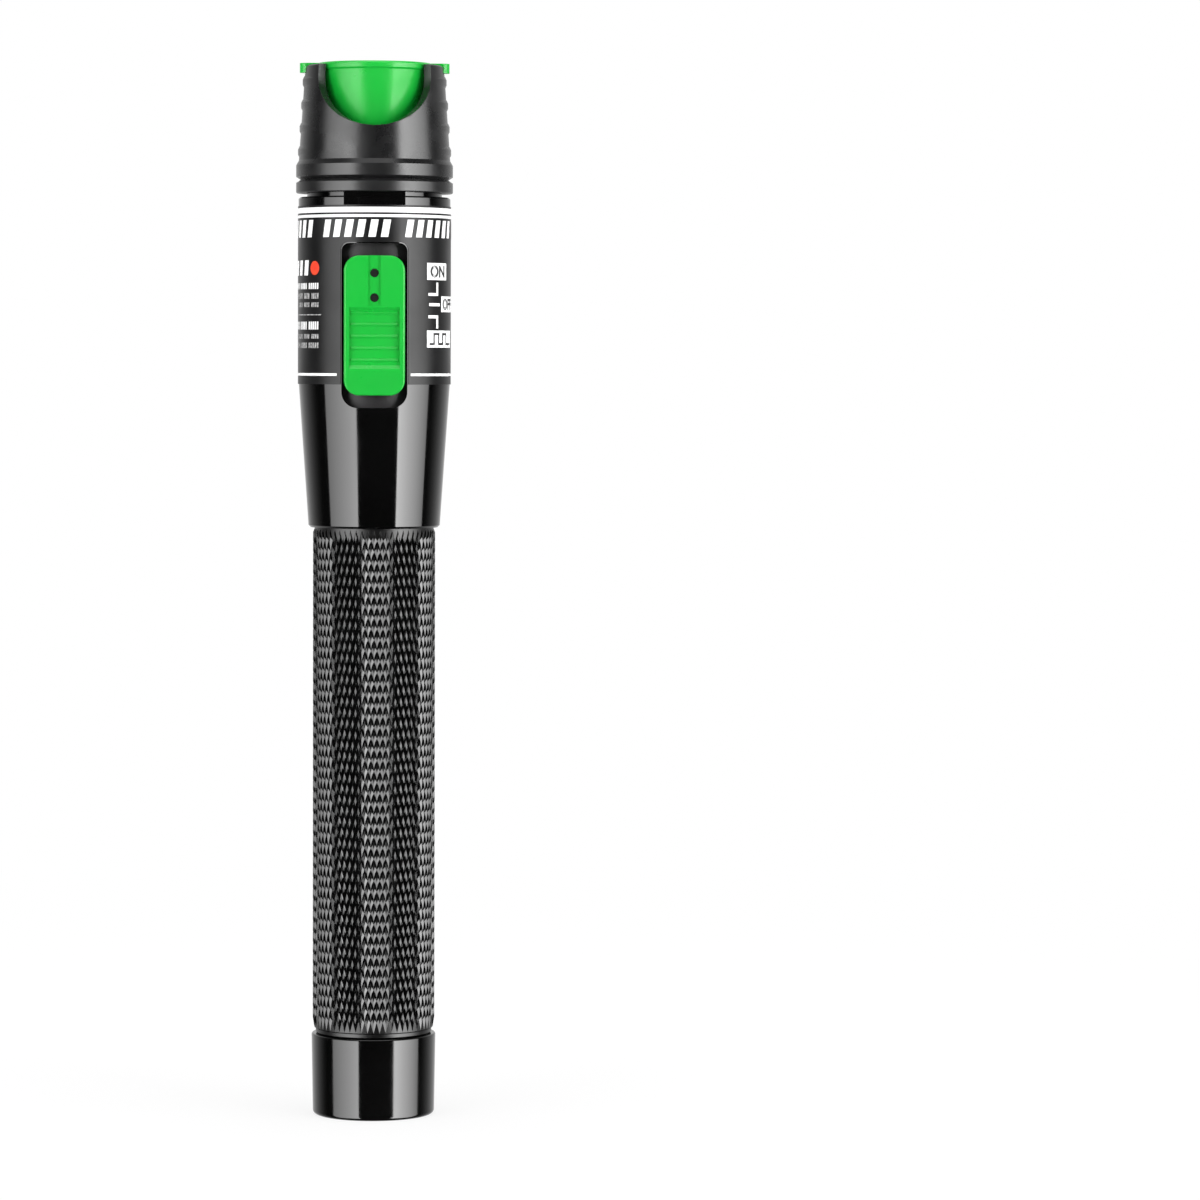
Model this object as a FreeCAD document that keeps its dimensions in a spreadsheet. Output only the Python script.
import FreeCAD, Part
import math
import os
import re
import Sketcher

# Pen-type visual fault locator, standing on its tail cap. Millimetres, +Z from tail to head,
# origin at the middle of the tail cap's bottom face, the thumb slide faces -Y.

doc = FreeCAD.newDocument("visual_fault_locator")

driving = {
    "fits": {
        "seat_gap": 0.05,        # round pieces of the same body that slip together
        "screw_fit": 0.05,       # tail cap in the barrel
        "cap_fit": 0.1,          # dust cap on the port
        "slide_fit": 0.2,        # slide carrier in the housing
        "knob_gap": 0.1,         # switch knob off its case and in its fork
        "spring_gap": 0.15,      # tail spring off the rear cell
        "ear_gap": 0.2,          # dust cap ears in their notches
        "board_gap": 0.4,        # circuit board below the laser holder
        "pin_gap": 0.35,         # laser pins above the switch
        "end_gap": 0.05,         # slide button off each end of its slot, at its limits
        "overcut": 1.0,          # how far a cut runs past the face that it opens
    },
    "tail cap": {
        "tail_len": 13.6,
        "tail_low_step": 0.05,
        "tail_high_step": 0.15,
        "tail_round": 0.7,
        "tail_floor": 2.5,
        "tail_spigot_wall": 1.35,
        "tail_spigot_len": 7.0,
        "tail_thread_depth": 0.45,
        "tail_land": 1.9,
        "tail_seam": 0.1,
    },
    "cells and contacts": {
        "cell_r": 7.25,
        "cell_len": 50.5,
        "cell_play": 0.35,
        "cell_edge": 0.3,
        "nub_r": 2.75,
        "nub_len": 1.5,
        "tail_contact_gap": 0.6,
        "tail_contact_thick": 0.5,
        "spring_inset": 1.0,
        "spring_taper": 2.4,
        "spring_wire_r": 0.4,
        "spring_len": 4.85,
        "spring_turns": 3.5,
        "stub_r": 2.5,
        "stub_len": 0.5,
    },
    "barrel": {
        "grip_wall": 1.2,
        "grip_edge": 0.3,
        "front_spigot_step": 0.7,
        "front_spigot_len": 9.35,
        "ring_wire_r": 0.5,
        "ring_side_gap": 0.1,
        "ring_rise": 1.5,
    },
    "housing": {
        "socket_len": 11.35,
        "cone_low_step": 0.73,
        "cone_flare": 1.67,
        "cone_len": 23.75,
        "cone_edge": 0.35,
        "label_recess": 0.05,
        "label_thick": 0.1,
        "label_len": 29.4,
        "label_cut_edge": 0.15,
        "rim_len": 1.5,
        "rim_edge": 0.25,
        "body_wall": 2.0,
        "deck_thick": 2.4,
        "neck_step": 1.4,
        "neck_wall": 1.6,
        "neck_gap": 0.7,
        "neck_seat": 6.0,
        "lug_wide": 10.1,
        "lug_under": 0.3,
        "slot_wide": 10.8,
        "slot_len": 27.0,
        "slot_rise": 9.65,
        "slot_low_round": 2.6,
        "slot_high_round": 1.3,
    },
    "thumb slide": {
        "travel": 2.0,
        "button_side_gap": 0.4,
        "button_round": 2.5,
        "button_proud": 0.8,
        "post_end": 2.85,
        "post_step": 4.05,
        "post_edge": 1.55,
        "dip_rim": 0.85,
        "dip_slope": 0.5,
        "dip_toe": 0.6,
        "dip_depth": 0.45,
        "dip_bow": 0.35,
        "toe_step": 0.5,
        "heel_len": 3.85,
        "heel_drop": 1.2,
        "crown_round": 0.35,
        "ridge_count": 5,
        "ridge_top": 0.4,
        "ridge_low": 0.8,
        "ridge_side_gap": 0.35,
        "ridge_tall": 0.2,
        "ridge_half": 0.32,
        "groove_wide": 2.0,
        "groove_deep": 0.3,
        "groove_end": 1.25,
        "post_r": 0.675,
        "carrier_thick": 1.2,
        "carrier_side": 1.6,
        "carrier_cover": 0.3,
        "lever_half": 2.2,
        "lever_wall": 1.5,
        "lever_lift": 0.4,
        "knob_half": 1.5,
        "knob_tall": 2.0,
        "knob_len": 2.6,
    },
    "boards and chassis": {
        "contact_board_thick": 1.6,
        "board_side_gap": 0.65,
        "board_thick": 1.0,
        "chassis_wall": 1.75,
        "boss_r": 1.8,
        "boss_side": 6.0,
        "boss_low": 4.0,
        "boss_end": 4.0,
        "screw_r": 0.8,
        "screw_head_r": 1.5,
        "screw_head": 1.0,
        "screw_dome": 0.4,
        "screw_len": 4.5,
        "switch_half": 1.9,
        "switch_long": 9.2,
        "switch_tall": 3.6,
        "chip_wide": 5.0,
        "chip_long": 4.0,
        "chip_tall": 1.7,
        "chip_rise": 6.5,
        "resistor_count": 3,
        "resistor_wide": 1.6,
        "resistor_long": 0.9,
        "resistor_tall": 0.6,
        "resistor_side": 6.4,
        "resistor_rise": 8.5,
        "resistor_step": 3.0,
        "capacitor_r": 2.0,
        "capacitor_tall": 4.0,
        "capacitor_side": 6.0,
        "capacitor_rise": 10.5,
    },
    "laser": {
        "holder_r": 5.0,
        "holder_low": 10.9,
        "holder_flange_r": 6.5,
        "holder_flange": 1.5,
        "diode_base_r": 2.8,
        "diode_base": 1.2,
        "diode_can_r": 1.78,
        "diode_can": 2.4,
        "diode_inset": 0.2,
        "diode_bore": 4.5,
        "pin_r": 0.225,
        "pin_side": 1.0,
        "lens_r": 2.2,
        "lens_thick": 1.6,
        "lens_drop": 3.0,
        "beam_r": 1.0,
    },
    "port": {
        "port_r": 4.0,
        "port_len": 15.5,
        "port_edge": 0.35,
        "port_flange_gap": 1.1,
        "port_flange": 1.4,
        "port_stop": 2.7,
        "ferrule_r": 1.25,
        "sleeve_wall": 0.35,
        "mouth_len": 1.4,
        "mouth_r": 1.4,
        "mouth_flare": 0.6,
        "nut_flat": 5.5,
        "nut_thick": 2.2,
    },
    "head shroud": {
        "shroud_over": 6.3,
        "collar_step": 0.4,
        "collar_edge": 0.15,
        "ring_tall": 1.7,
        "vee_tall": 1.0,
        "vee_deep": 0.75,
        "band_tall": 1.9,
        "shoulder_tall": 0.8,
        "shoulder_step": 0.45,
        "shroud_taper": 1.05,
        "shroud_wall": 1.46,
        "tip_round": 0.45,
        "notch_r": 8.3,
        "notch_drop": 2.0,
        "ear_notch_half": 1.5,
        "rib_count": 4,
        "rib_first": 2.75,
        "rib_step": 3.85,
        "rib_half": 0.94,
        "rib_crest": 0.42,
        "rib_out": 0.24,
        "rib_sunk": 0.5,
        "rib_centre": 1.9,
        "rib_turn": 70.0,
    },
    "dust cap": {
        "cap_proud": 0.4,
        "cap_flange_gap": 0.44,
        "cap_flange": 1.3,
        "cap_under_step": 0.25,
        "cap_taper": 2.0,
        "cap_foot": 0.6,
        "cap_len": 13.4,
        "cap_roof_gap": 0.7,
        "cap_edge": 0.3,
        "cap_dish_r": 7.0,
        "cap_dish": 0.5,
        "ear_over": 0.9,
        "ear_thick": 1.6,
    },
}

# Heights and radii that follow from the driving sizes, in the order they build on each other.
following = {
    "grip_z": "tail_len + tail_seam",
    "cell_bore_r": "cell_r + cell_play",
    "tail_spigot_r": "cell_bore_r + tail_spigot_wall",
    "thread_bore_r": "tail_spigot_r + screw_fit",
    "grip_r": "thread_bore_r + grip_wall",
    "front_spigot_r": "grip_r - front_spigot_step",
    "tail_low_r": "grip_r - tail_low_step",
    "tail_high_r": "grip_r + tail_high_step",
    "tail_contact_r": "cell_bore_r - tail_contact_gap",
    "spring_low_r": "tail_contact_r - spring_inset",
    "spring_high_r": "spring_low_r - spring_taper",
    "spring_z": "tail_floor + tail_contact_thick",
    "cell_z": "spring_z + spring_len + spring_gap",
    "cell_top_z": "cell_z + 2 * cell_len",
    "ledge_z": "cell_top_z + stub_len",
    "board_z": "ledge_z + contact_board_thick",
    "cone_z": "ledge_z - socket_len",
    "front_ring_z": "cone_z + ring_rise",
    "ring_groove": "ring_wire_r + ring_side_gap",
    "label_z": "cone_z + cone_len",
    "cone_low_r": "grip_r + cone_low_step",
    "body_r": "cone_low_r + cone_flare",
    "cone_high_r": "body_r - label_recess",
    "label_r": "body_r + label_thick",
    "label_top_z": "label_z + label_len",
    "deck_z": "label_top_z + rim_len",
    "cavity_r": "body_r - body_wall",
    "cavity_top_z": "deck_z - deck_thick",
    "neck_r": "body_r - neck_step",
    "neck_bore_r": "neck_r - neck_wall",
    "lug_face": "body_r - lug_under",
    "slot_z": "label_z + slot_rise",
    "button_wide": "slot_wide - 2 * button_side_gap",
    "button_len": "slot_len - 2 * (travel + end_gap)",
    "button_half": "button_len / 2",
    "button_crown": "label_r + button_proud",
    "post_high": "button_half - post_end",
    "post_low": "post_high - post_step",
    "groove_low": "post_low - groove_end",
    "plate_low": "post_low - post_edge",
    "toe_low": "button_half - heel_len",
    "toe_high": "toe_low - toe_step",
    "dip_wide": "button_wide - 2 * dip_rim",
    "dip_top": "plate_low - dip_slope",
    "dip_low": "toe_high - dip_toe",
    "ridge_first": "dip_top - ridge_top",
    "ridge_step": "(ridge_first + dip_low - ridge_low) / (ridge_count - 1)",
    "ridge_wide": "dip_wide - 2 * ridge_side_gap",
    "carrier_half": "slot_wide / 2 + carrier_side",
    "carrier_r": "cavity_r - slide_fit",
    "carrier_in_r": "carrier_r - carrier_thick",
    "dip_floor": "button_crown - dip_depth",
    "dip_half": "(dip_low + dip_top) / 2",
    "dip_bow_r": "(dip_half ^ 2 + dip_bow ^ 2) / (2 * dip_bow)",
    "inner_r": "cavity_r - seat_gap",
    "board_half": "inner_r - board_side_gap",
    "board_front": "board_thick / 2",
    "switch_front": "board_front + switch_tall",
    "knob_front": "switch_front + knob_gap + knob_len",
    "holder_z": "cavity_top_z - holder_low",
    "board_len": "holder_z - board_gap - board_z",
    "boss_high": "board_len - boss_end",
    "diode_z": "holder_z + diode_inset",
    "pin_len": "diode_z - slot_z - switch_long / 2 - pin_gap",
    "lens_z": "deck_z - lens_drop",
    "lens_bow_r": "(lens_r ^ 2 + (lens_thick / 2) ^ 2) / lens_thick",
    "port_flange_r": "neck_bore_r - port_flange_gap",
    "port_top_z": "deck_z + port_len",
    "sleeve_z": "deck_z + port_stop",
    "sleeve_r": "ferrule_r + sleeve_wall",
    "sleeve_top_z": "port_top_z - mouth_len",
    "shroud_z": "deck_z + neck_gap",
    "neck_top_z": "shroud_z + neck_seat",
    "collar_r": "body_r + collar_step",
    "shroud_low_r": "collar_r - shoulder_step",
    "shroud_high_r": "shroud_low_r - shroud_taper",
    "vee_z": "shroud_z + ring_tall",
    "band_z": "vee_z + vee_tall",
    "shoulder_z": "band_z + band_tall",
    "wall_z": "shoulder_z + shoulder_tall",
    "shroud_top_z": "port_top_z + shroud_over",
    "wall_len": "shroud_top_z - wall_z",
    "notch_z": "shroud_top_z - notch_drop",
    "cap_top_z": "shroud_top_z + cap_proud",
    "cap_flange_r": "shroud_high_r - shroud_wall - cap_flange_gap",
    "cap_high_r": "cap_flange_r - cap_under_step",
    "cap_low_r": "cap_high_r - cap_taper",
    "cap_flange_z": "cap_top_z - cap_flange",
    "cap_low_z": "cap_top_z - cap_len",
    "cap_bore_r": "port_r + cap_fit",
    "cap_roof_z": "port_top_z + cap_roof_gap",
    "ear_reach": "shroud_high_r + ear_over",
    "ear_half": "ear_notch_half - ear_gap",
    "ear_z": "cap_top_z - ear_thick",
}

sheet = doc.addObject("Spreadsheet::Sheet", "Sizes")
row = 1
for group, cells in driving.items():
    sheet.set("A%d" % row, group)
    row += 1
    for word, size in cells.items():
        sheet.set("A%d" % row, word)
        sheet.set("B%d" % row, str(size))
        sheet.setAlias("B%d" % row, word)
        row += 1
doc.recompute()

levels = doc.addObject("App::VarSet", "Levels")
homes = {word: "Sizes" for cells in driving.values() for word in cells}


def bound(text):
    """The expression with each size's word replaced by the cell or level that holds it."""
    def place(match):
        word = match.group(0)
        return homes[word] + "." + word if word in homes else word
    return re.sub(r"[a-z][a-z_]*", place, str(text))


def size(text):
    """What an expression of sizes comes to."""
    return float(sheet.evalExpression(bound(text)))


for word, text in following.items():
    levels.addProperty("App::PropertyFloat", word)
    levels.setExpression(word, bound(text))
    homes[word] = "Levels"
    doc.recompute()

nodes = []


def bind(thing, **properties):
    """Ties properties to sizes; two underscores stand for the dot of Placement.Base.z."""
    for name, text in properties.items():
        thing.setExpression(name.replace("__", "."), bound(text))


def newBody(name):
    body = doc.addObject("PartDesign::Body", name)
    body.Label = name
    nodes.append(body)
    return body


def newSketch(body, name, plane, offset=None):
    sketch = body.newObject("Sketcher::SketchObject", body.Name + "_" + name)
    origin = {part.Role: part for part in body.Origin.OriginFeatures}
    sketch.AttachmentSupport = [(origin[plane], "")]
    sketch.MapMode = "FlatFace"
    if offset is not None:
        bind(sketch, AttachmentOffset__Base__z=offset)
    return sketch


def pin(sketch, element, end, x, y):
    """Fixes a point of the sketch at two expressions, measured from the sketch's origin."""
    for kind, text in (("DistanceX", x), ("DistanceY", y)):
        number = sketch.addConstraint(Sketcher.Constraint(kind, -1, 1, element, end, size(text)))
        sketch.setExpression("Constraints[%d]" % number, bound(text))


def addOutline(sketch, outline):
    """Closed outline of (x, y) corners. A third item is the radius of the arc to the next
    corner: it bulges to the left of the way there, or to the right where the radius is negative."""
    first = sketch.GeometryCount
    corners = [FreeCAD.Vector(size(corner[0]), size(corner[1]), 0) for corner in outline]
    ends = []
    for i, corner in enumerate(outline):
        here, there = corners[i], corners[(i + 1) % len(corners)]
        if len(corner) == 2:
            sketch.addGeometry(Part.LineSegment(here, there), False)
            ends.append((1, 2))
            continue
        radius = size(corner[2])
        half = (there - here) * 0.5
        rise = abs(radius) - math.sqrt(max(radius ** 2 - half.Length ** 2, 0.0))
        across = FreeCAD.Vector(-half.y, half.x, 0).normalize() * math.copysign(rise, radius)
        sketch.addGeometry(Part.Arc(here, here + half + across, there), False)
        begins = sketch.getPoint(first + i, 1)
        forward = begins.distanceToPoint(here) < begins.distanceToPoint(there)
        ends.append((1, 2) if forward else (2, 1))
    for i, corner in enumerate(outline):
        after = (i + 1) % len(outline)
        pair = (first + i, ends[i][1], first + after, ends[after][0])
        sketch.addConstraint(Sketcher.Constraint("Coincident", *pair))
        pin(sketch, first + i, ends[i][0], corner[0], corner[1])
        if len(corner) == 3:
            radius = Sketcher.Constraint("Radius", first + i, abs(size(corner[2])))
            number = sketch.addConstraint(radius)
            sketch.setExpression("Constraints[%d]" % number, bound("abs(%s)" % corner[2]))


def addCircle(sketch, x, y, radius):
    centre = FreeCAD.Vector(size(x), size(y), 0)
    up = FreeCAD.Vector(0, 0, 1)
    element = sketch.addGeometry(Part.Circle(centre, up, size(radius)), False)
    pin(sketch, element, 3, x, y)
    number = sketch.addConstraint(Sketcher.Constraint("Radius", element, size(radius)))
    sketch.setExpression("Constraints[%d]" % number, bound(radius))


def rectangle(left, low, right, high):
    return [(left, low), (right, low), (right, high), (left, high)]


def rounded(out, top, radius, lower=False):
    """Corner of a turned outline eased with three flats, going up on the outside: the top corner
    by default, or the bottom one."""
    flats = []
    for angle in (0, 30, 60, 90):
        x = "%s - %s * (1 - cos(%d))" % (out, radius, angle)
        rise = "%s * (1 - sin(%d))" % (radius, angle)
        flats.append((x, top + (" + " if lower else " - ") + rise))
    return flats[::-1] if lower else flats


def turn(body, name, outline):
    """Adds a full turn of an outline in radius and height."""
    sketch = newSketch(body, name + "_outline", "XZ_Plane")
    addOutline(sketch, outline)
    feature = body.newObject("PartDesign::Revolution", body.Name + "_" + name)
    feature.Profile = sketch
    feature.ReferenceAxis = (sketch, ["V_Axis"])
    feature.Angle = 360.0
    body.Tip = feature
    doc.recompute()
    return feature


def pad(body, name, plane, outlines, length, offset=None, midplane=False, circles=()):
    """Adds an extrusion along the plane's normal: +Z from XY, -Y from XZ and +X from YZ."""
    sketch = newSketch(body, name + "_outline", plane, offset)
    for outline in outlines:
        addOutline(sketch, outline)
    for circle in circles:
        addCircle(sketch, *circle)
    feature = body.newObject("PartDesign::Pad", body.Name + "_" + name)
    feature.Profile = sketch
    feature.Midplane = midplane
    bind(feature, Length=length)
    body.Tip = feature
    doc.recompute()
    return feature


def pocket(body, name, plane, outlines, length, offset=None, midplane=False, circles=()):
    """Cuts along the same way that pad adds, and checks that something was cut."""
    before = body.Shape.Volume
    sketch = newSketch(body, name + "_outline", plane, offset)
    for outline in outlines:
        addOutline(sketch, outline)
    for circle in circles:
        addCircle(sketch, *circle)
    feature = body.newObject("PartDesign::Pocket", body.Name + "_" + name)
    feature.Profile = sketch
    feature.Midplane = midplane
    feature.Reversed = not midplane
    bind(feature, Length=length)
    body.Tip = feature
    doc.recompute()
    if body.Shape.Volume > before - 1e-6:
        raise RuntimeError("%s cuts nothing" % feature.Name)
    return feature


def dress(body, kind, name, length, chosen):
    """Fillets or chamfers the edges that a test picks out."""
    base = body.Tip
    edges = ["Edge%d" % (i + 1) for i, edge in enumerate(base.Shape.Edges) if chosen(edge)]
    if not edges:
        raise RuntimeError("%s finds no edge" % name)
    feature = body.newObject("PartDesign::" + kind, body.Name + "_" + name)
    feature.Base = (base, edges)
    bind(feature, **{"Radius" if kind == "Fillet" else "Size": length})
    body.Tip = feature
    doc.recompute()
    if "Invalid" in feature.State:
        raise RuntimeError("%s can't be made" % feature.Name)
    return feature


def near(value, text):
    return abs(value - size(text)) < 1e-3


def tailCap():
    body = newBody("tail_cap")
    spigot_top = "tail_len + tail_spigot_len"
    land = "tail_len + tail_land"
    core = "tail_spigot_r - tail_thread_depth"
    groove = "tail_spigot_r - 2 * ring_wire_r"
    turn(body, "shell", [
        (0, 0),
        *rounded("tail_low_r", "0", "tail_round", lower=True),
        ("tail_high_r", "tail_len - tail_seam"),
        ("tail_high_r - tail_seam", "tail_len"),
        (groove, "tail_len"),
        (groove, "tail_len + 2 * ring_groove"),
        ("tail_spigot_r", "tail_len + 2 * ring_groove"),
        ("tail_spigot_r", land),
        (core, land),
        (core, spigot_top),
        ("cell_bore_r", spigot_top),
        ("cell_bore_r", "tail_floor"),
        (0, "tail_floor"),
    ])


def ring(name, across, height):
    """O-ring with an eight-sided section, modelled at the origin and placed at its groove."""
    body = newBody(name)
    turn(body, "wire", [
        ("%s + ring_wire_r * cos(%d)" % (across, angle), "ring_wire_r * sin(%d)" % angle)
        for angle in range(0, 360, 45)
    ])
    bind(body, Placement__Base__z=height)
    doc.recompute()


def tailContact():
    body = newBody("tail_contact")
    top = "tail_contact_thick"
    pad(body, "disc", "XY_Plane", [], top, circles=[(0, 0, "tail_contact_r")])
    bind(body, Placement__Base__z="tail_floor")


def tailSpring():
    """Conical spring: a six-sided wire swept along a tapering helix."""
    rise = "(spring_len - 2 * spring_wire_r)"
    helix = doc.addObject("Part::Helix", "tail_spring_helix")
    bind(helix, Pitch=rise + " / spring_turns", Height=rise, Radius="spring_low_r")
    lean = "atan((spring_high_r - spring_low_r) / %s)" % rise
    helix.setExpression("Angle", bound(lean))
    section = doc.addObject("Part::RegularPolygon", "tail_spring_wire")
    section.Polygon = 6
    bind(section, Circumradius="spring_wire_r", Placement__Base__x="spring_low_r")
    section.Placement.Rotation = FreeCAD.Rotation(FreeCAD.Vector(1, 0, 0), 90)
    sweep = doc.addObject("Part::Sweep", "tail_spring")
    sweep.Sections = [section]
    sweep.Spine = (helix, ["Edge1"])
    sweep.Solid = True
    sweep.Frenet = True
    sweep.Label = "tail_spring"
    bind(sweep, Placement__Base__z="spring_z + spring_wire_r")
    nodes.append(sweep)
    doc.recompute()


def barrel():
    body = newBody("barrel")
    thread_end = "tail_len + tail_spigot_len + ring_wire_r"
    groove_low = "front_ring_z - ring_groove"
    groove_high = "front_ring_z + ring_groove"
    groove_r = "front_spigot_r - 2 * ring_wire_r"
    spigot_top = "cone_z + front_spigot_len"
    turn(body, "tube", [
        ("thread_bore_r", "grip_z"),
        ("grip_r - grip_edge", "grip_z"),
        ("grip_r", "grip_z + grip_edge"),
        ("grip_r", "cone_z"),
        ("front_spigot_r", "cone_z"),
        ("front_spigot_r", groove_low),
        (groove_r, groove_low),
        (groove_r, groove_high),
        ("front_spigot_r", groove_high),
        ("front_spigot_r", spigot_top),
        ("cell_bore_r", spigot_top),
        ("cell_bore_r", thread_end),
        ("thread_bore_r", thread_end),
    ])


def cell(name, height):
    body = newBody(name)
    can = "cell_len - nub_len"
    edge = "cell_edge"
    turn(body, "can", [
        (0, 0),
        ("cell_r - %s" % edge, 0),
        ("cell_r", edge),
        ("cell_r", "%s - %s" % (can, edge)),
        ("cell_r - %s" % edge, can),
        ("nub_r", can),
        ("nub_r", "cell_len"),
        (0, "cell_len"),
    ])
    bind(body, Placement__Base__z=height)


def positiveContact():
    body = newBody("positive_contact")
    pad(body, "stub", "XY_Plane", [], "stub_len", circles=[(0, 0, "stub_r")])
    bind(body, Placement__Base__z="cell_top_z")


def slotOutline(grow, low, high):
    """Slot in X and Z, grown by an edge all round, with its own corner radii."""
    side = "(slot_wide / 2 + %s)" % grow
    top = "(slot_z + slot_len / 2 + %s)" % grow
    foot = "(slot_z - slot_len / 2 - %s)" % grow
    return [
        ("-%s + %s" % (side, low), foot),
        ("%s - %s" % (side, low), foot, "-" + low),
        (side, "%s + %s" % (foot, low)),
        (side, "%s - %s" % (top, high), "-" + high),
        ("%s - %s" % (side, high), top),
        ("-%s + %s" % (side, high), top, "-" + high),
        ("-" + side, "%s - %s" % (top, high)),
        ("-" + side, "%s + %s" % (foot, low), "-" + low),
    ]


def frontHousing():
    body = newBody("front_housing")
    socket = "front_spigot_r + seat_gap"
    hole = "holder_r + seat_gap"
    turn(body, "shell", [
        (socket, "cone_z"),
        ("cone_low_r - cone_edge", "cone_z"),
        ("cone_low_r", "cone_z + cone_edge"),
        ("cone_high_r", "label_z"),
        ("body_r", "label_z"),
        ("body_r", "deck_z - rim_edge"),
        ("body_r - rim_edge", "deck_z"),
        ("neck_r", "deck_z"),
        ("neck_r", "neck_top_z"),
        ("neck_bore_r", "neck_top_z"),
        ("neck_bore_r", "deck_z"),
        (hole, "deck_z"),
        (hole, "cavity_top_z"),
        ("cavity_r", "cavity_top_z"),
        ("cavity_r", "ledge_z"),
        (socket, "ledge_z"),
    ])
    side = "lug_wide / 2"
    lugs = []
    for front, back in (("-lug_face", "-neck_bore_r - seat_gap"), ("neck_bore_r + seat_gap", "lug_face")):
        lugs.append(rectangle("-" + side, front, side, back))
    pad(body, "lugs", "XY_Plane", lugs, "rim_len + neck_gap", offset="label_top_z")
    pocket(body, "slot", "XZ_Plane", [slotOutline("0", "slot_low_round", "slot_high_round")],
           "label_r + slide_fit")


def labelWrap():
    body = newBody("label_wrap")
    turn(body, "film", rectangle("body_r", "label_z", "label_r", "label_top_z"))
    cut = slotOutline("label_cut_edge", "slot_low_round", "slot_high_round")
    pocket(body, "slot", "XZ_Plane", [cut], "label_r + slide_fit")


def slideCarrier():
    body = newBody("slide_carrier")
    side = "carrier_half"
    outer = "-sqrt(carrier_r ^ 2 - carrier_half ^ 2)"
    inner = "-sqrt(carrier_in_r ^ 2 - carrier_half ^ 2)"
    length = "slot_len + 2 * travel + 2 * carrier_cover"
    pad(body, "shell", "XY_Plane", [[
        ("-" + side, outer, "-carrier_r"),
        (side, outer),
        (side, inner, "carrier_in_r"),
        ("-" + side, inner),
    ]], length, offset="slot_z - (%s) / 2" % length)
    posts = [(0, "slot_z + " + rise, "post_r") for rise in ("post_high", "post_low")]
    root = "carrier_r - carrier_thick / 2"
    post_top = "button_crown - groove_deep - seat_gap"
    pad(body, "posts", "XZ_Plane", [], "%s - (%s)" % (post_top, root), offset=root, circles=posts)
    reach = "knob_front - knob_len + lever_lift"
    high = "knob_tall / 2 + knob_gap + lever_wall"
    lever = rectangle("-lever_half", "slot_z - " + high, "lever_half", "slot_z + " + high)
    pad(body, "lever", "XZ_Plane", [lever], "%s - (%s)" % (root, reach), offset=reach)
    half = "knob_tall / 2 + knob_gap"
    fork = rectangle("-lever_half - knob_gap", "slot_z - (%s)" % half,
                     "lever_half + knob_gap", "slot_z + %s" % half)
    pocket(body, "fork", "XZ_Plane", [fork], "knob_len - lever_lift + knob_gap", offset=reach)


def dipDepth(height):
    """Outward place of the hollow's floor at a height above the slide's middle."""
    middle = "(dip_top - dip_low) / 2"
    centre = "(dip_floor + dip_bow_r - dip_bow)"
    return "%s - sqrt(dip_bow_r ^ 2 - (%s - %s) ^ 2)" % (centre, height, middle)


def slideButton():
    body = newBody("slide_button")
    side = [
        ("-carrier_in_r", "slot_z - button_half"),
        ("-carrier_in_r", "slot_z + button_half"),
        ("-button_crown", "slot_z + button_half"),
        ("-button_crown", "slot_z - toe_low"),
        ("-button_crown + heel_drop", "slot_z - button_half"),
    ]
    pad(body, "block", "YZ_Plane", [side], "button_wide", midplane=True)
    dress(body, "Fillet", "corners", "button_round",
          lambda edge: abs(edge.tangentAt(edge.FirstParameter).y) > 0.999
          and near(abs(edge.CenterOfMass.z - size("slot_z")), "button_half"))
    pocket(body, "seat", "XY_Plane", [], "button_len + 2 * overcut",
           offset="slot_z - button_half - overcut", circles=[(0, 0, "carrier_r")])
    dress(body, "Fillet", "crown", "crown_round",
          lambda edge: edge.CenterOfMass.y < -size("button_crown - heel_drop - crown_round / 2")
          and not near(edge.CenterOfMass.z, "slot_z - toe_low")
          and abs(edge.tangentAt(edge.FirstParameter).y) < 0.9)
    hollow = [
        ("-button_crown - overcut", "slot_z - toe_high"),
        ("-button_crown - overcut", "slot_z + plate_low"),
        ("-button_crown", "slot_z + plate_low"),
        ("-dip_floor", "slot_z + dip_top", "dip_bow_r"),
        ("-dip_floor", "slot_z - dip_low"),
        ("-button_crown", "slot_z - toe_high"),
    ]
    pocket(body, "hollow", "YZ_Plane", [hollow], "dip_wide", midplane=True)
    groove = rectangle("-groove_wide / 2", "slot_z + groove_low",
                       "groove_wide / 2", "slot_z + button_half + overcut")
    pocket(body, "groove", "XZ_Plane", [groove], "groove_deep + overcut",
           offset="button_crown - groove_deep")
    holes = [(0, "slot_z + " + rise, "post_r + seat_gap") for rise in ("post_high", "post_low")]
    pocket(body, "post_holes", "XZ_Plane", [], "button_crown", circles=holes)
    ridges = []
    for number in range(round(size("ridge_count"))):
        rise = "(ridge_first - %d * ridge_step)" % number
        floor = "-(%s)" % dipDepth(rise)
        low = "slot_z + %s - ridge_half" % rise
        high = "slot_z + %s + ridge_half" % rise
        inside = floor + " + ridge_tall"
        ridges.append([(inside, low), (floor, low), (floor + " - ridge_tall", "slot_z + " + rise),
                       (floor, high), (inside, high)])
    pad(body, "ridges", "YZ_Plane", ridges, "ridge_wide", midplane=True)


def switchKnob():
    body = newBody("switch_knob")
    knob = rectangle("-knob_half", "slot_z - knob_tall / 2", "knob_half", "slot_z + knob_tall / 2")
    pad(body, "block", "XZ_Plane", [knob], "knob_len", offset="switch_front + knob_gap")


def contactBoard():
    body = newBody("contact_board")
    pad(body, "disc", "XY_Plane", [], "contact_board_thick", circles=[(0, 0, "inner_r")])
    bind(body, Placement__Base__z="ledge_z")


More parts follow.
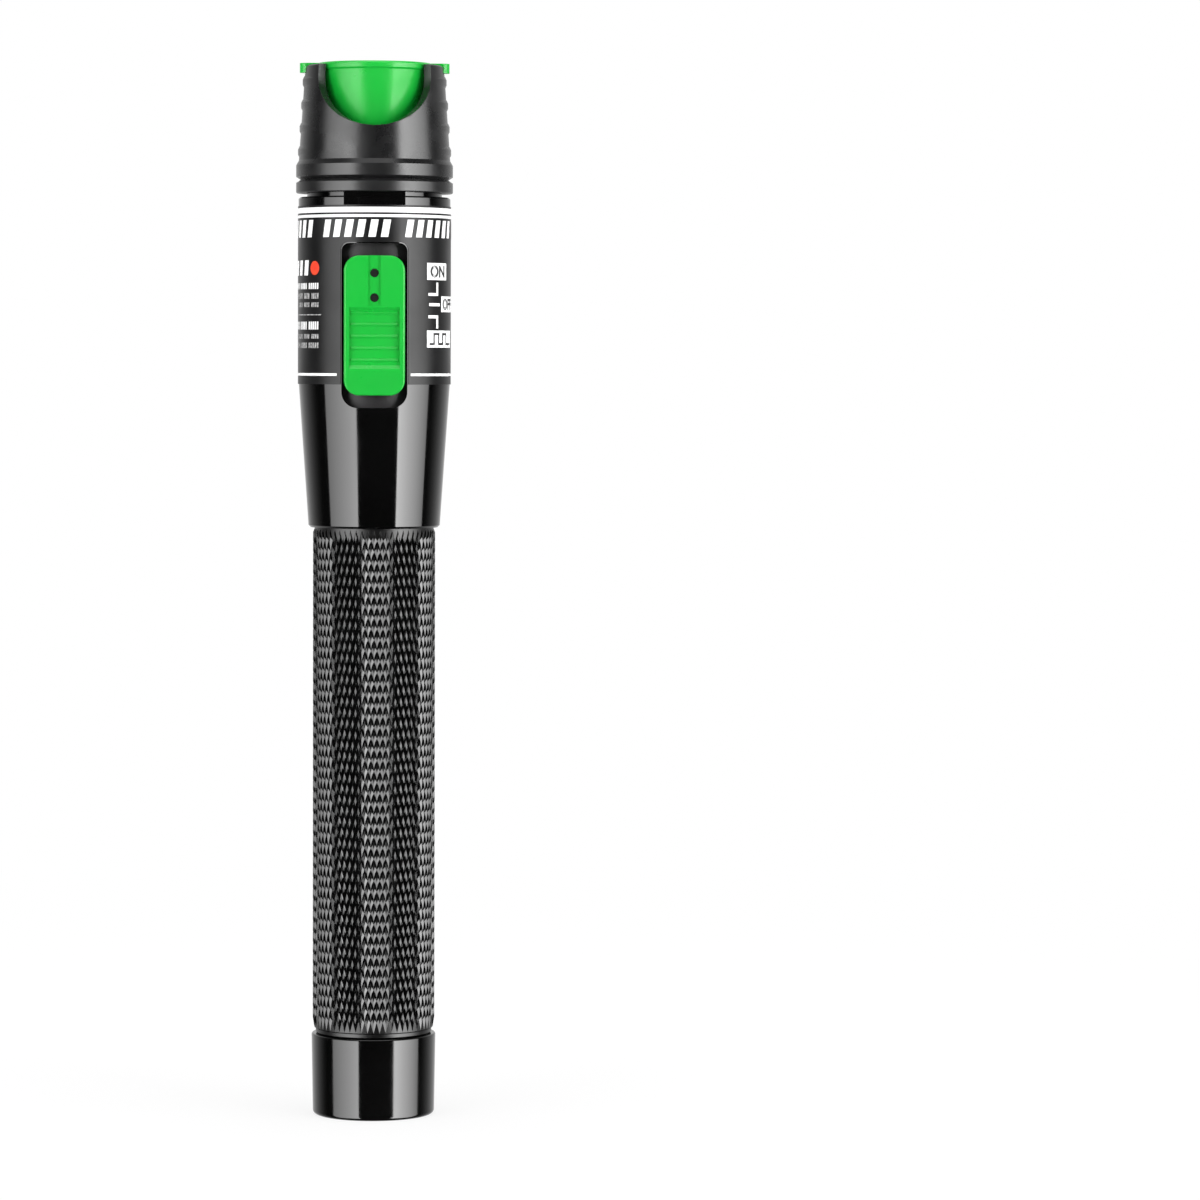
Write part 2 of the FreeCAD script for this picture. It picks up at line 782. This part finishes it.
def chassis():
    """Half shell behind the circuit board, with two screw bosses."""
    body = newBody("chassis")
    face = "board_front"
    inside = "(inner_r - chassis_wall)"
    outer_x = "sqrt(inner_r ^ 2 - board_front ^ 2)"
    inner_x = "sqrt(%s ^ 2 - board_front ^ 2)" % inside
    pad(body, "shell", "XY_Plane", [[
        (outer_x, face, "-inner_r"),
        (0, "inner_r", "-inner_r"),
        ("-" + outer_x, face),
        ("-" + inner_x, face, inside),
        (0, inside, inside),
        (inner_x, face),
    ]], "board_len", offset="board_z")
    bosses = [("-boss_side", "board_z + boss_low", "boss_r"), ("boss_side", "board_z + boss_high", "boss_r")]
    depth = "sqrt(%s ^ 2 - boss_side ^ 2)" % inside
    pad(body, "bosses", "XZ_Plane", [], "%s - board_front" % depth, offset="-(%s)" % depth, circles=bosses)
    holes = [(x, z, "screw_r + seat_gap") for x, z, _ in bosses]
    pocket(body, "holes", "XZ_Plane", [], "screw_len", offset="-board_front - screw_len", circles=holes)


def circuitBoard():
    body = newBody("circuit_board")
    plate = rectangle("-board_half", "board_z", "board_half", "board_z + board_len")
    pad(body, "plate", "XZ_Plane", [plate], "board_thick", midplane=True)
    holes = [("-boss_side", "board_z + boss_low", "screw_r + seat_gap"),
             ("boss_side", "board_z + boss_high", "screw_r + seat_gap")]
    pocket(body, "holes", "XZ_Plane", [], "board_thick + 2 * overcut", midplane=True, circles=holes)


def onBoard(name, side, rise, wide, long, tall):
    """Component block standing on the front of the circuit board."""
    block = doc.addObject("Part::Box", name)
    block.Label = name
    bind(block, Length=wide, Width=tall, Height=long,
         Placement__Base__x="%s - (%s) / 2" % (side, wide),
         Placement__Base__y="-board_front - (%s)" % tall,
         Placement__Base__z="%s - (%s) / 2" % (rise, long))
    nodes.append(block)


def capacitor():
    body = newBody("capacitor")
    spot = ("-capacitor_side", "board_z + capacitor_rise", "capacitor_r")
    pad(body, "can", "XZ_Plane", [], "capacitor_tall", offset="board_front", circles=[spot])


def boardScrew(name, side, rise):
    """Pan-head screw, modelled along Z and turned to point backwards."""
    body = newBody(name)
    turn(body, "screw", [
        (0, "-screw_len"),
        ("screw_r", "-screw_len"),
        ("screw_r", 0),
        ("screw_head_r", 0),
        ("screw_head_r", "screw_head - screw_dome"),
        ("screw_head_r - screw_dome", "screw_head"),
        (0, "screw_head"),
    ])
    body.Placement.Rotation = FreeCAD.Rotation(FreeCAD.Vector(1, 0, 0), 90)
    bind(body, Placement__Base__x=side, Placement__Base__y="-board_front", Placement__Base__z=rise)
    doc.recompute()


def laserHolder():
    body = newBody("laser_holder")
    bore = "diode_base_r + seat_gap"
    tube = "diode_can_r + seat_gap"
    lens_top = "lens_z + lens_thick"
    turn(body, "tube", [
        (bore, "holder_z"),
        ("holder_r", "holder_z"),
        ("holder_r", "cavity_top_z - holder_flange"),
        ("holder_flange_r", "cavity_top_z - holder_flange"),
        ("holder_flange_r", "cavity_top_z"),
        ("holder_r", "cavity_top_z"),
        ("holder_r", "deck_z"),
        ("beam_r", "deck_z"),
        ("beam_r", lens_top),
        ("lens_r", lens_top),
        ("lens_r", "lens_z"),
        (tube, "lens_z"),
        (tube, "holder_z + diode_bore"),
        (bore, "holder_z + diode_bore"),
    ])


def laserDiode():
    """Metal can on a round base, with three pins that straddle the circuit board."""
    body = newBody("laser_diode")
    base_top = "diode_z + diode_base"
    can_top = "%s + diode_can" % base_top
    turn(body, "can", [
        (0, "diode_z"),
        ("diode_base_r", "diode_z"),
        ("diode_base_r", base_top),
        ("diode_can_r", base_top),
        ("diode_can_r", can_top),
        (0, can_top),
    ])
    off = "board_front + pin_r"
    pins = [("-pin_side", off, "pin_r"), ("pin_side", off, "pin_r"), (0, "-(%s)" % off, "pin_r")]
    pad(body, "pins", "XY_Plane", [], "pin_len", offset="diode_z - pin_len", circles=pins)


def focusLens():
    body = newBody("focus_lens")
    turn(body, "lens", [
        (0, "lens_z"),
        ("lens_r", "lens_z"),
        ("lens_r", "lens_z + lens_thick / 2", "-lens_bow_r"),
        (0, "lens_z + lens_thick"),
    ])


def ferrulePort():
    """Adapter barrel on a round flange, bored for the ceramic sleeve."""
    body = newBody("ferrule_port")
    flange_top = "deck_z + port_flange"
    bore = "sleeve_r + seat_gap"
    turn(body, "barrel", [
        ("beam_r", "deck_z"),
        ("port_flange_r", "deck_z"),
        ("port_flange_r", flange_top),
        ("port_r", flange_top),
        ("port_r", "port_top_z - port_edge"),
        ("port_r - port_edge", "port_top_z"),
        ("mouth_r + mouth_flare", "port_top_z"),
        ("mouth_r", "sleeve_top_z"),
        (bore, "sleeve_top_z"),
        (bore, "sleeve_z"),
        ("beam_r", "sleeve_z"),
    ])


def ferruleSleeve():
    body = newBody("ferrule_sleeve")
    turn(body, "tube", rectangle("ferrule_r", "sleeve_z", "sleeve_r", "sleeve_top_z"))


def portNut():
    body = newBody("port_nut")
    corner = "nut_flat / cos(30)"
    corners = []
    for number in range(6):
        angle = 30 + 60 * number
        corners.append(("%s * cos(%d)" % (corner, angle), "%s * sin(%d)" % (corner, angle)))
    pad(body, "hexagon", "XY_Plane", [corners], "nut_thick", offset="deck_z + port_flange",
        circles=[(0, 0, "port_r + seat_gap")])


def wallRadius(height):
    """Outer radius of the shroud's tapered wall at a height."""
    return "(shroud_low_r - (shroud_low_r - shroud_high_r) * ((%s) - wall_z) / wall_len)" % height


def fingerCut():
    """Cutter for the finger notches: a round notch whose sides all point at the axis."""
    steps = 14
    radius = size("notch_r")
    inner = size("shroud_high_r - shroud_wall + (shroud_low_r - shroud_high_r) / 3")
    middle = size("notch_z")
    top = size("shroud_top_z + overcut")

    def section(across):
        def spot(turned):
            out = radius * math.sin(turned)
            slope = out / math.sqrt(inner ** 2 - out ** 2)
            return FreeCAD.Vector(slope * across, -across, middle - radius * math.cos(turned))
        spots = [spot(math.pi * (step / steps - 0.5)) for step in range(steps + 1)]
        left = FreeCAD.Vector(spots[0].x, spots[0].y, top)
        right = FreeCAD.Vector(spots[-1].x, spots[-1].y, top)
        return Part.makePolygon(spots + [right, left, spots[0]])

    front = Part.makeLoft([section(size("port_r")), section(size("collar_r + overcut"))], True, True)
    back = front.mirror(FreeCAD.Vector(0, 0, 0), FreeCAD.Vector(0, 1, 0))
    cutter = doc.addObject("Part::Feature", "finger_cutter")
    cutter.Shape = Part.makeCompound([front, back])
    return cutter


def headShroud():
    body = newBody("head_shroud_shell")
    nodes.remove(body)
    bore = "neck_r + seat_gap"
    turn(body, "wall", [
        (bore, "shroud_z"),
        ("collar_r - collar_edge", "shroud_z"),
        ("collar_r", "shroud_z + collar_edge"),
        ("collar_r", "vee_z"),
        ("collar_r - vee_deep", "vee_z + vee_tall / 2"),
        ("collar_r", "band_z"),
        ("collar_r", "shoulder_z"),
        ("shroud_low_r", "wall_z"),
        *rounded("shroud_high_r", "shroud_top_z", "tip_round"),
        ("shroud_high_r - shroud_wall", "shroud_top_z"),
        ("shroud_low_r - shroud_wall", "neck_top_z"),
        (bore, "neck_top_z"),
    ])
    half = "ear_notch_half"
    reach = "(collar_r + overcut)"
    slot = rectangle("-" + reach, "-" + half, reach, half)
    pocket(body, "ear_notches", "XY_Plane", [slot], "ear_thick + ear_gap + overcut",
           offset="ear_z - ear_gap")
    sketch = newSketch(body, "rib_outlines", "XZ_Plane")
    for number in range(round(size("rib_count"))):
        height = "shroud_top_z - rib_first - %d * rib_step" % number
        root = wallRadius(height) + " - rib_sunk"
        crest = wallRadius(height) + " + rib_out"
        addOutline(sketch, [
            (root, height + " - rib_half"),
            (wallRadius(height), height + " - rib_half"),
            (crest, height + " - rib_crest"),
            (crest, height + " + rib_crest"),
            (wallRadius(height), height + " + rib_half"),
            (root, height + " + rib_half"),
        ])
    low = FreeCAD.Vector(size("rib_centre"), size("shroud_z"), 0)
    high = FreeCAD.Vector(size("rib_centre"), size("shroud_top_z"), 0)
    line = sketch.addGeometry(Part.LineSegment(low, high), True)
    pin(sketch, line, 1, "rib_centre", "shroud_z")
    pin(sketch, line, 2, "rib_centre", "shroud_top_z")
    ribs = body.newObject("PartDesign::Revolution", "head_shroud_ribs")
    ribs.Profile = sketch
    ribs.ReferenceAxis = (sketch, ["Axis0"])
    ribs.Midplane = True
    bind(ribs, Angle="rib_turn")
    body.Tip = ribs
    doc.recompute()
    mirrored = body.newObject("PartDesign::Mirrored", "head_shroud_ribs_mirrored")
    mirrored.Originals = [ribs]
    mirrored.MirrorPlane = ({part.Role: part for part in body.Origin.OriginFeatures}["YZ_Plane"], [""])
    body.Tip = mirrored
    doc.recompute()
    shroud = doc.addObject("Part::Cut", "head_shroud")
    shroud.Base = body
    shroud.Tool = fingerCut()
    shroud.Label = "head_shroud"
    nodes.append(shroud)
    doc.recompute()


def dustCap():
    body = newBody("dust_cap")
    turn(body, "bowl", [
        ("cap_bore_r", "cap_low_z"),
        ("cap_low_r - cap_foot", "cap_low_z"),
        ("cap_low_r", "cap_low_z + cap_foot"),
        ("cap_high_r", "cap_flange_z"),
        ("cap_flange_r - cap_edge", "cap_flange_z"),
        ("cap_flange_r", "cap_flange_z + cap_edge"),
        ("cap_flange_r", "cap_top_z - cap_edge"),
        ("cap_flange_r - cap_edge", "cap_top_z"),
        (0, "cap_top_z"),
        (0, "cap_roof_z"),
        ("cap_bore_r", "cap_roof_z"),
    ])
    reach = "(ear_reach - ear_half)"
    pad(body, "ears", "XY_Plane", [[
        ("-" + reach, "-ear_half"),
        (reach, "-ear_half", "-ear_half"),
        ("ear_reach", 0, "-ear_half"),
        (reach, "ear_half"),
        ("-" + reach, "ear_half", "-ear_half"),
        ("-ear_reach", 0, "-ear_half"),
    ]], "ear_thick", offset="ear_z")
    pocket(body, "dish", "XY_Plane", [], "cap_dish + overcut", offset="cap_top_z - cap_dish",
           circles=[(0, 0, "cap_dish_r")])


tailCap()
ring("tail_o_ring", "tail_spigot_r - ring_wire_r", "tail_len + ring_groove")
tailContact()
tailSpring()
barrel()
ring("barrel_o_ring", "front_spigot_r - ring_wire_r", "front_ring_z")
cell("battery_rear", "cell_z")
cell("battery_front", "cell_z + cell_len")
positiveContact()
contactBoard()
frontHousing()
labelWrap()
chassis()
circuitBoard()
onBoard("switch_case", "0", "slot_z", "2 * switch_half", "switch_long", "switch_tall")
onBoard("driver_chip", "0", "board_z + chip_rise", "chip_wide", "chip_long", "chip_tall")
for number in range(round(size("resistor_count"))):
    onBoard("resistor_%d" % (number + 1), "resistor_side",
            "board_z + resistor_rise + %d * resistor_step" % number,
            "resistor_wide", "resistor_long", "resistor_tall")
capacitor()
boardScrew("board_screw_low", "-boss_side", "board_z + boss_low")
boardScrew("board_screw_high", "boss_side", "board_z + boss_high")
laserHolder()
laserDiode()
focusLens()
ferrulePort()
ferruleSleeve()
portNut()
headShroud()
dustCap()
slideCarrier()
slideButton()
switchKnob()
doc.recompute()

for thing in doc.Objects:
    if {"Invalid", "Error"} & set(thing.State):
        raise RuntimeError("%s failed: %s" % (thing.Name, thing.State))
for node in nodes:
    if node.Shape.isNull() or not node.Shape.isValid() or not node.Shape.Solids:
        raise RuntimeError("%s has no sound solid" % node.Label)

os.makedirs("parts", exist_ok=True)
for node in nodes:
    node.Shape.exportStep(os.path.join("parts", node.Label + ".step"))
    box = node.Shape.BoundBox
    print("%-16s solids %d volume %9.2f z %7.2f to %7.2f" % (
        node.Label, len(node.Shape.Solids), node.Shape.Volume, box.ZMin, box.ZMax))
